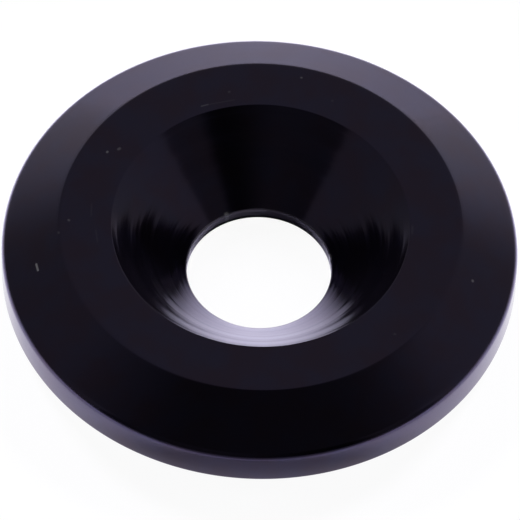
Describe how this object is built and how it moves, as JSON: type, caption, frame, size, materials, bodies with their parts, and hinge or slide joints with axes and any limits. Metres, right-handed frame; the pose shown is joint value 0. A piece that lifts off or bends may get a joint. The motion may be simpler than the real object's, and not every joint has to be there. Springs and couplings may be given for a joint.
{
  "type": "countersunk washer",
  "caption": "Thick turned washer with a conical seat for a flat-head screw, a sloped shoulder and an upright rim, in glossy black anodised aluminium.",
  "frame": {"origin": "centre of the bore in the plane of the flat underside", "axes": "+Z along the bore axis, out of the countersink's mouth; X and Y are any two directions across the ring"},
  "size_m": [0.022, 0.022, 0.0038],
  "materials": {
    "black_anodise": "glossy black anodised, with fine turning marks in the screw seat"
  },
  "bodies": {
    "root": {"countersunk_washer": "black_anodise"}
  },
  "joints": []
}
